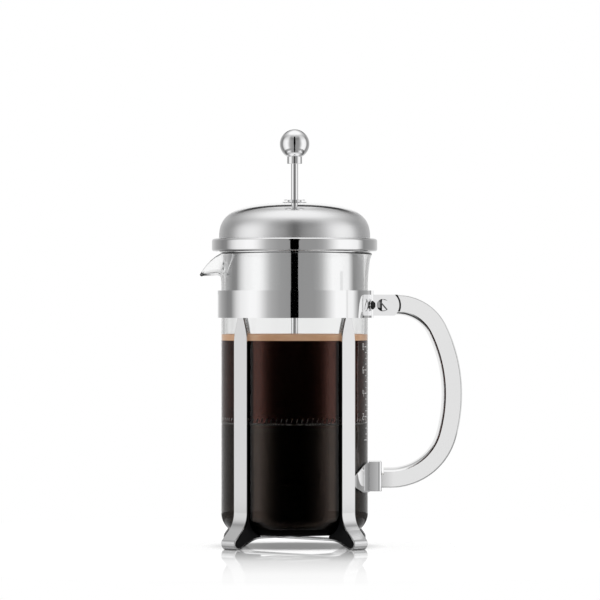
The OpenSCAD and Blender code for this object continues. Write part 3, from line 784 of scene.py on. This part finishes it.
def slotted_head(name, side):
    """Low domed head with a slot; side is -1 towards the front and 1 towards the back."""
    radius = high("handle_screw")[2] - EAR_Z
    height, dome = 1.6, 0.7
    x = (high("handle_screw")[0] + low("handle_screw")[0]) / 2
    ball = (radius ** 2 + dome ** 2) / (2 * dome)
    crown = [(ball * sin(a), height - ball + ball * cos(a))
             for a in np.linspace(asin((radius - 0.35) / ball), 0, 12)]
    edge = [(radius, 0), (radius, height - dome - 0.25), (radius - 0.1, height - dome + 0.02)]
    head = turned(name, [(0, 0)] + edge + crown, 96)
    slot_half, slot_floor = 0.45, height - dome - 0.35
    slot = prism("slot", rectangle(-9, 9, -slot_half, slot_half), upright, slot_floor, height + 1)
    turn = radians(-50)
    slot.data.transform(Matrix.Rotation(turn, 4, "Z"))
    cut_out(head, slot)
    bevel(head, 0.12, 2, 50)
    finished(head, CHROME, "frame", slot="chrome")
    # The slot's floor and walls get painted shade: the dark grey metal.
    head.data.materials.append(SLOT_PAINTED_SHADE)
    for face in head.data.polygons:
        c = face.center / MM
        across = abs(c.y * cos(turn) - c.x * sin(turn))
        crown_z = height - dome * (hypot(c.x, c.y) / radius) ** 2
        if across < slot_half + 0.01 and 0.3 < c.z < crown_z - 0.08:
            face.material_index = 1
    head.data.transform(Matrix.Translation(Vector((x, side * EAR_OUT, EAR_Z)) * MM)
                        @ Matrix.Rotation(-side * pi / 2, 4, "X"))
    return head


# ---------- lower brace and socket ----------


def lower_bracket():
    """Bent plate from leg to leg, tall in the middle behind the socket."""
    inner, outer = 48.45, 49.45
    z0, z1 = levels("lower_bracket")
    neck_x, wide_x, neck_z, neck_h = 38.4, 45.2, z0 + 4.8, 5.4
    leg_half_w = 6.02
    edge = 45 - degrees(asin(leg_half_w / outer))
    bends = [degrees(acos(x / outer)) for x in (neck_x, wide_x, wide_x + 2)]
    right = sorted(set(list(np.linspace(0, edge, 22)) + bends))
    angles = np.array([-a for a in right[:0:-1]] + right)
    lower = lambda x: np.interp(x, (neck_x, wide_x), (neck_z, z0))
    upper = lambda x: np.interp(x, (neck_x, wide_x, wide_x + 2), (neck_z + neck_h, z1 - 1.6, z1))

    def side(r):
        rows = []
        for a in np.radians(angles):
            x = outer * cos(a)
            rows.append([(r * cos(a), r * sin(a), z) for z in np.linspace(lower(x), upper(x), 6)])
        return rows

    piece = bevel(sheet("lower_bracket", side(outer), side(inner)), 0.2)
    finished(piece, CHROME, "frame", "lower_bracket", slot="chrome")


def handle_socket():
    """Block between the brace and the handle's lower end."""
    z0, z1 = levels("handle_socket")
    x1, half = high("handle_socket")[0], high("handle_socket")[1]
    back_r, back_half_a, corner = 49.47, 11.3, 2.2
    front = rounded([(49, -half, 0), (x1, -half, corner), (x1, half, corner), (49, half, 0)], 8)[1:-1]
    outline = arc((0, 0), back_r, back_half_a, -back_half_a, 14) + front
    piece = bevel(prism("handle_socket", outline, upright, z0, z1), 0.35)
    finished(piece, CHROME, "frame", "handle_socket", slot="chrome")


# ---------- beaker ----------

GLASS_R = 48.0
WALL = 2.0
CORNER_R = 13.6
FLOOR_T = 3.0
SPOUT_HALF_ANGLE = radians(42)
SPOUT_TIP_R = 1.4
FLARE_Z = 168.0
LIP_Z = 186.0
COFFEE_BELOW_LIP = 52.9


def wall_radius(z, top_z):
    flare = 1.2 * np.clip((z - FLARE_Z) / (LIP_Z - FLARE_Z), 0, None) ** 2
    lip = 1.0 * np.clip((z - LIP_Z) / (top_z - LIP_Z), 0, None) ** 2
    return GLASS_R + flare + lip


def halved(near, far, inside):
    """Closes the ranges near to far in on the place where inside() stops being true."""
    for _ in range(40):
        middle = (near + far) / 2
        true = inside(middle)
        near, far = np.where(true, middle, near), np.where(true, far, middle)
    return near, far


def beaker():
    """Glass with a rounded foot, a rolled lip and a drawn-out spout at -X."""
    floor_z, top_z = levels("beaker")
    tip_z, cone_end_x, rim_start_x, rim_r, soft = 176.6, -38, -47, 34.0, 3.0
    tip = np.array([low("beaker")[0] + SPOUT_TIP_R, 0, tip_z + SPOUT_TIP_R])
    axis = np.array([1, 0, 1]) / sqrt(2)
    lip = WALL / 2

    def field(p):
        """Negative inside the glass's outer face: the wall and the spout's cone, blended."""
        wall = np.hypot(p[..., 0], p[..., 1]) - wall_radius(p[..., 2], top_z)
        off = p - tip
        along = off @ axis
        away = np.linalg.norm(off - along[..., None] * axis, axis=-1)
        cone = (away - SPOUT_TIP_R - along * tan(SPOUT_HALF_ANGLE)) * cos(SPOUT_HALF_ANGLE)
        cone = np.where(along < 0, np.linalg.norm(off, axis=-1) - SPOUT_TIP_R, cone)
        cone = np.maximum(cone, p[..., 0] - cone_end_x)
        h = np.clip(0.5 + 0.5 * (wall - cone) / soft, 0, 1)
        return wall * (1 - h) + cone * h - soft * h * (1 - h)

    # The rim over the spout: an arc that falls from the lip to the tip.
    rim_a, rim_b = np.array([rim_start_x, top_z]), np.array([low("beaker")[0], tip_z + 1])
    half = np.linalg.norm(rim_a - rim_b) / 2
    out = np.array([rim_a[1] - rim_b[1], rim_b[0] - rim_a[0]]) / (2 * half)
    rim_c = (rim_a + rim_b) / 2 + out * sqrt(rim_r ** 2 - half ** 2)

    def rim_height(x):
        inside = np.clip(rim_r ** 2 - (x - rim_c[0]) ** 2, 0, None)
        return np.where(x < rim_a[0], rim_c[1] + np.sqrt(inside), top_z) - lip

    # Columns stand closest round the spout.
    near = np.linspace(-40, 40, 81)
    angles = np.radians(180 + np.concatenate([near, np.linspace(40, 320, 187)[1:-1]]))
    count = len(angles)
    outward = np.stack([np.cos(angles), np.sin(angles), 0 * angles], 1)
    start_z, eye_z, eye_r = 150.0, top_z + 0.4, 40.0
    eye = outward * eye_r + np.array([0, 0, eye_z])
    up = np.array([0, 0, 1.0])

    def hit(turn):
        """Where rays from the eye, `turn` above straight down, leave the glass."""
        way = outward * np.sin(turn)[:, None] - up * np.cos(turn)[:, None]
        at = lambda t: eye + way * t[:, None]
        return at(halved(np.zeros(count), np.full(count, 80.0), lambda t: field(at(t)) < 0)[0])

    def below_rim(turn):
        p = hit(turn)
        return p[:, 2] < rim_height(p[:, 0])

    first = np.full(count, atan2(GLASS_R - eye_r, eye_z - start_z))
    last = sum(halved(first, np.full(count, radians(110)), below_rim)) / 2
    drawn = [hit(first + (last - first) * s) for s in np.linspace(0, 1, 44) ** 0.75]

    def normal(p):
        d = 0.01
        return unit(np.stack([field(p + d * e) - field(p - d * e) for e in np.eye(3)], 1))

    normals = [normal(p) for p in drawn]
    rise = drawn[-1] - drawn[-2]
    rise = unit(rise - normals[-1] * np.sum(rise * normals[-1], 1)[:, None])
    middle = drawn[-1] - normals[-1] * lip
    cap = [middle + lip * (normals[-1] * cos(b) + rise * sin(b))
           for b in sweep(0, 180, 10)[1:-1]]
    drawn_in = [p - n * WALL for p, n in zip(drawn, normals)]

    ring = lambda r, z: outward * r + up * z
    centre = (GLASS_R - CORNER_R, floor_z + CORNER_R)
    foot = [(r, floor_z) for r in np.linspace(0, centre[0], 6)] + arc(centre, CORNER_R, -90, 0, 20)[1:]
    inner_c = (centre[0], floor_z + FLOOR_T + CORNER_R - WALL)
    inside_foot = [(r, floor_z + FLOOR_T) for r in np.linspace(0, inner_c[0], 6)] + \
        arc(inner_c, CORNER_R - WALL, -90, 0, 20)[1:]
    wall_z = list(np.linspace(30, start_z, 14))[:-1]
    level = high("beaker")[2] - COFFEE_BELOW_LIP
    rows = [ring(r, z) for r, z in foot] + [ring(GLASS_R, z) for z in wall_z] + drawn + cap
    inner_z = sorted(wall_z + [level])
    rows += drawn_in[::-1] + [ring(GLASS_R - WALL, z) for z in inner_z[::-1]]
    rows += [ring(r, z) for r, z in inside_foot[::-1]]
    points = np.stack(rows, 0).reshape(-1, 3)
    piece = mesh("beaker", points, grid_faces(len(rows), count, False, True), sharp=180)
    piece.data.materials.append(GLASS)
    finished(piece, WET_GLASS, "beaker", "beaker", slot="glass")
    limit = level * MM + 1e-5
    for face in piece.data.polygons:
        c, n = face.center, face.normal
        faces_in = (c.x * n.x + c.y * n.y) / hypot(c.x, c.y) - n.z < 0
        if faces_in and c.z < limit:
            face.material_index = 1


# ---------- coffee ----------


def coffee():
    """Coffee above the filter, grounds below it, and the crema on top."""
    floor_z = low("beaker")[2] + FLOOR_T
    level = high("beaker")[2] - COFFEE_BELOW_LIP
    crema_t = 4.1
    filter_z = low("edge_coil")[2] - 0.2
    radius, gap = 45.0, 0.25
    inner_c = (GLASS_R - CORNER_R, floor_z + CORNER_R - WALL)
    foot = [(min(r, radius), z) for r, z in arc(inner_c, CORNER_R - WALL - gap, -90, 0, 16)]
    grounds = [(0, floor_z + gap)] + foot + [(radius, filter_z), (0, filter_z)]
    finished(turned("coffee_grounds", grounds), GROUNDS, "beaker")
    bottom, top = filter_z + 0.05, level - crema_t
    liquid = [(0, bottom), (radius, bottom), (radius, top), (0, top)]
    finished(turned("coffee", liquid), COFFEE, "beaker")
    foam_z, foam_r = top + 0.02, radius + 0.7
    foam = rounded([(0, foam_z, 0), (foam_r, foam_z, 0), (foam_r + 0.2, level, 0.5), (0, level - 0.3, 0)], 4)
    finished(turned("crema", foam), CREMA, "beaker")


# ---------- scale on the glass ----------


def digit_strokes(digit):
    """Strokes of a plain seven-bar digit in a box 1 wide and 2 high."""
    bars = {"a": (0, 2, 1, 2), "b": (1, 1, 1, 2), "c": (1, 0, 1, 1), "d": (0, 0, 1, 0),
            "e": (0, 0, 0, 1), "f": (0, 1, 0, 2), "g": (0, 1, 1, 1)}
    lit = {2: "abged", 4: "fgbc", 6: "afgedc", 8: "abcdefg"}[digit]
    return [bars[k] for k in lit]


def scale_bars():
    """The printed bars as (u from, u to, z from, z to), with u round the glass from the first line."""
    first, pitch, count, line = 70.0, 3.8, 17, 0.55
    short, long, digit_u, digit_w, digit_h = 3.2, 5.5, 7, 1.7, 1.9
    bars = []
    for k in range(count):
        z = first + k * pitch
        numbered = k % 4 == 0
        bars.append((0, long if numbered else short, z - line / 2, z + line / 2))
        if numbered and k:
            for x0, y0, x1, y1 in digit_strokes(k // 2):
                bars.append((digit_u + (1 - x1) * digit_w - line / 2, digit_u + (1 - x0) * digit_w + line / 2,
                             z + (y0 - 1) * digit_h - line / 2, z + (y1 - 1) * digit_h + line / 2))
    bars.append((-0.6, -0.1, first - 1, first + (count - 1) * pitch + 1))
    return bars


def glass_scale():
    """A plain printed scale of ticks and cup numbers on the handle's side of the glass."""
    radius, ink_t = GLASS_R + 0.03, 0.02
    middle = radians(-12)
    points, faces = [], []
    for u0, u1, v0, v1 in scale_bars():
        n = max(2, int((u1 - u0) / 0.5) + 1)
        base = len(points)
        for r in (radius, radius - ink_t):
            for v in (v0, v1):
                points += [(r * cos(middle - u / radius), r * sin(middle - u / radius), v)
                           for u in np.linspace(u0, u1, n)]
        ring = list(range(0, n)) + list(range(2 * n - 1, n - 1, -1))
        faces += [(side + j, side + j + 1, side + n + j + 1, side + n + j)
                  for side in (base, base + 2 * n) for j in range(n - 1)]
        faces += [(base + a, base + b, base + 2 * n + b, base + 2 * n + a)
                  for a, b in zip(ring, ring[1:] + ring[:1])]
    finished(mesh("glass_scale", points, faces), INK, "beaker")


# ---------- carried-over CAD nodes ----------


def keep_cad(node, look):
    """A CAD node that stays: its shape is right, and it takes a finished material."""
    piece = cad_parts[node]
    piece.data.materials.clear()
    piece.data.materials.append(look)


# ---------- studio ----------


def floor_look(n):
    """White, with a mirror image that fades out in front; reflections find a painted grey or black on it."""
    far_y, near_y, back_y = -395, -60, 90
    where = n.place()
    x, y = n.axis(where, 0), n.axis(where, 1)
    off = n.math("ABSOLUTE", x)
    reach = n.math("SQRT", n.math("ADD", n.math("MULTIPLY", x, x), n.math("MULTIPLY", y, y)))
    # Little light gets under the press: a painted shadow there, where the floor's glow fades out and its
    # mirror image weakens.
    under = n.span(reach, 0.038, 0.062)

    place = n.span(y, far_y * MM, back_y * MM)
    near = (near_y - far_y) / (back_y - far_y)
    fade = n.ramp(place, [(0, 0.0), (near * 0.32, 0.1), (near * 0.5, 0.22), (near * 0.68, 0.34),
                          (near * 0.88, 0.6), (near, 0.78), (0.93, 0.78), (1, 0.0)], "LINEAR")
    fade = n.math("MULTIPLY", fade, n.between(under, 0.3, 1.0))
    fade = n.math("MULTIPLY", fade, n.span(off, 0.1, 0.17, 1.0, 0.0))

    matt = n.add("BsdfDiffuse", Color=(0.92, 0.92, 0.92, 1))
    white = n.add("AddShader", i0=n.glow(n.math("MULTIPLY", under, 0.58)), i1=matt)
    # Further out the floor goes over into the white background.
    far = n.span(reach, 0.16, 0.36)
    white = n.mixed(far, white, n.glow(1.0))

    # In reflections it glows a painted pattern in place of its white: grey in front, painted shade behind and
    # near the press, and black in front of its middle.
    front = n.span(n.math("DIVIDE", y, reach), -1.0, 1.0)
    grey = n.ramp(front, [(0, 0.28), (0.3, 0.4), (0.49, 0.3), (0.67, 0.12), (1, 0.12)], "LINEAR")
    grey = n.blend("MULTIPLY", grey, n.span(reach, 0.06, 0.19, 0.05, 1.0))
    clear = n.math("MAXIMUM", n.math("GREATER_THAN", off, 0.036), n.math("GREATER_THAN", y, -0.18))
    rays = n.add("LightPath", _out=0).node
    in_mirrors = n.math("GREATER_THAN", rays.outputs["Glossy Depth"], 0.5)
    white = n.mixed(in_mirrors, white, n.glow(clear, grey))
    mirror = n.add("BsdfGlossy", Color=(1, 1, 1, 1), Roughness=0.01)
    return n.mixed(fade, white, mirror)


def floor():
    """White glossy disc under the press."""
    size = 400
    piece = mesh("floor", [(x, y, 0) for x, y in arc((0, 0), size, 0, 360, 96)[:-1]], [list(range(96))])
    piece.data.materials.append(material("floor", floor_look))


def card(name, outline, distance, build):
    """A flat card across the front that only reflections see."""
    piece = mesh(name, [(x, -distance, z) for x, z in outline], [list(range(len(outline)))])
    piece.data.materials.append(material(name, build))
    piece.visible_camera = piece.visible_diffuse = False
    piece.visible_shadow = piece.visible_volume_scatter = False


def dark_strip():
    """Black card, wider above: the stripe down the middle of every polished piece."""
    low_half, high_half, step, top = 29, 38, 225, 745
    edge = [(low_half, 2), (low_half, step), (high_half, step), (high_half, top)]
    card("dark_strip", edge + [(-x, z) for x, z in edge[::-1]], 300, lambda n: n.glow(0.0))


def coffee_card():
    """Low black card with soft ends, dark on its object side, that keeps the coffee's middle black."""
    half, low_z, top_z = 66, 0.5, 138

    def build(n):
        off = n.span(n.math("ABSOLUTE", n.axis(n.place(), 0)), 0.0, half * MM)
        open_part = n.ramp(off, [(0.24, 0.0), (0.48, 0.07), (0.64, 0.2), (0.76, 0.4), (0.88, 0.7),
                                 (1.0, 1.0)], "LINEAR")
        # The object side is the back of the face.
        away = n.add("NewGeometry", _out=6)
        glass = n.add("BsdfTransparent", Color=(1, 1, 1, 1))
        dark = n.mixed(open_part, n.glow(0.0), glass)
        return n.mixed(away, glass, dark)

    card("coffee_card", rectangle(-half, half, low_z, top_z), 70, build)


def light_cards():
    """White cards: one behind the gap inside the handle, one close beside the upper screw."""
    card("card_behind", rectangle(-100, 85, 25, 165), -150, lambda n: n.glow(0.85))
    card("card_beside", rectangle(54, 112, 135, 180), 40, lambda n: n.glow(0.8))


def studio_world():
    """White for the eye; for reflections, soft boxes at both sides and above, grey walls between."""
    world = bpy.data.worlds.new("studio")
    bpy.context.scene.world = world
    world.use_nodes = True
    n = Nodes(world.node_tree)
    way = n.add("TexCoord", _out=0)
    x, y, z = (n.axis(way, k) for k in range(3))
    turn = n.math("ARCTAN2", x, n.math("MULTIPLY", y, -1.0))
    share = n.span(turn, -pi, pi)
    # Brightness by the angle round the press, from 0 in front to +90 on the handle's side.
    walls = [(-180, 1.0), (-174, 1.0), (-170, 0.66), (-155, 0.55), (-140, 0.38), (-120, 0.23), (-110, 0.24),
             (-97, 0.68), (-88, 0.86), (-70, 0.98), (-60, 0.97), (-53.5, 0.87), (-47, 0.68), (-40, 0.48),
             (-34, 0.4), (-22, 0.32), (-5, 0.29), (-4.5, 0.8), (4.5, 0.8), (5, 0.29), (30, 0.3),
             (38.5, 0.355), (45, 0.46), (51.5, 0.65), (58, 0.84), (65, 0.98), (80, 0.98), (98, 0.9),
             (112, 0.24), (140, 0.38), (172, 0.7), (174, 1.0)]
    walls = n.ramp(share, [((a + 180) / 360, v) for a, v in walls], "LINEAR")
    lift = n.math("ARCSINE", z)
    side = n.math("ABSOLUTE", turn)
    height = n.span(lift, 0.0, radians(90))
    # The walls lose light upwards, and a dark gap runs above them behind.
    faded = n.ramp(height, [(0.0, 1.0), (0.22, 1.0), (0.37, 0.8), (0.5, 0.68), (1.0, 0.62)], "LINEAR")
    gap = n.ramp(height, [(0.0, 1.0), (0.235, 0.95), (0.262, 0.05), (0.355, 0.05), (0.39, 1.0)], "LINEAR")
    behind = n.span(side, radians(145), radians(162))
    gap = n.blend("MIX", (1.0, 1.0, 1.0, 1), gap, behind)
    walls = n.blend("MULTIPLY", walls, faded)
    # The light overhead begins lower behind than in front.
    edge = n.span(side, radians(35), radians(115), radians(52), radians(34))
    above = n.span(n.math("SUBTRACT", lift, edge), radians(-20), radians(30))
    sky = n.ramp(above, [(0.0, 0.0), (0.2, 0.22), (0.4, 0.38), (0.6, 0.52), (0.8, 0.74),
                         (0.96, 1.0)], "LINEAR")
    pattern = n.blend("MULTIPLY", n.blend("LIGHTEN", walls, sky), gap)
    rays = n.add("LightPath", _out=0).node
    clear = n.math("LESS_THAN", rays.outputs["Glossy Depth"], 0.5)
    through = n.math("MULTIPLY", rays.outputs["Is Transmission Ray"], clear)
    seen = n.math("MAXIMUM", rays.outputs["Is Camera Ray"], through)
    colour = n.blend("MIX", pattern, (1.0, 1.0, 1.0, 1), seen)
    background = n.add("Background", Color=colour, Strength=1.0)
    n.add("OutputWorld", Surface=background)


def camera():
    """Level, in front, a little right of the beaker's axis."""
    data = bpy.data.cameras.new("camera")
    distance, field, right, height = 2800, 393.0, 3.54, 161.2
    data.sensor_width = 36
    data.lens = data.sensor_width * distance / field
    data.clip_end = 100
    eye = bpy.data.objects.new("camera", data)
    eye.location = Vector((right, -distance, height)) * MM
    eye.rotation_euler = (pi / 2, 0, 0)
    bpy.context.scene.collection.objects.link(eye)
    bpy.context.scene.camera = eye


camera()
lid_dome()
lid_rim()
lid_skirt()
rod_bush()
knob()
knob_collar()
plunger_rod()
edge_coil()
frame_band()
leg_strip("leg_strip_a", 45)
leg_strip("leg_strip_b", 135)
pad("pad_front_left", 225)
pad("pad_front_right", 315)
pad("pad_back_left", 135)
pad("pad_back_right", 45)
handle()
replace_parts(slotted_head("handle_screw_head", -1), "handle_screw")
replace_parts(slotted_head("handle_nut_head", 1), "handle_nut")
lower_bracket()
handle_socket()
beaker()
coffee()
glass_scale()
for kept in ("splash_plate", "spiral_plate", "cross_plate", "cross_hub", "bush_nut", "lower_screw"):
    keep_cad(kept, STAINLESS)
keep_cad("mesh_filter", WOVEN)
floor()
dark_strip()
coffee_card()
light_cards()
studio_world()
bpy.context.scene.view_settings.view_transform = "Standard"
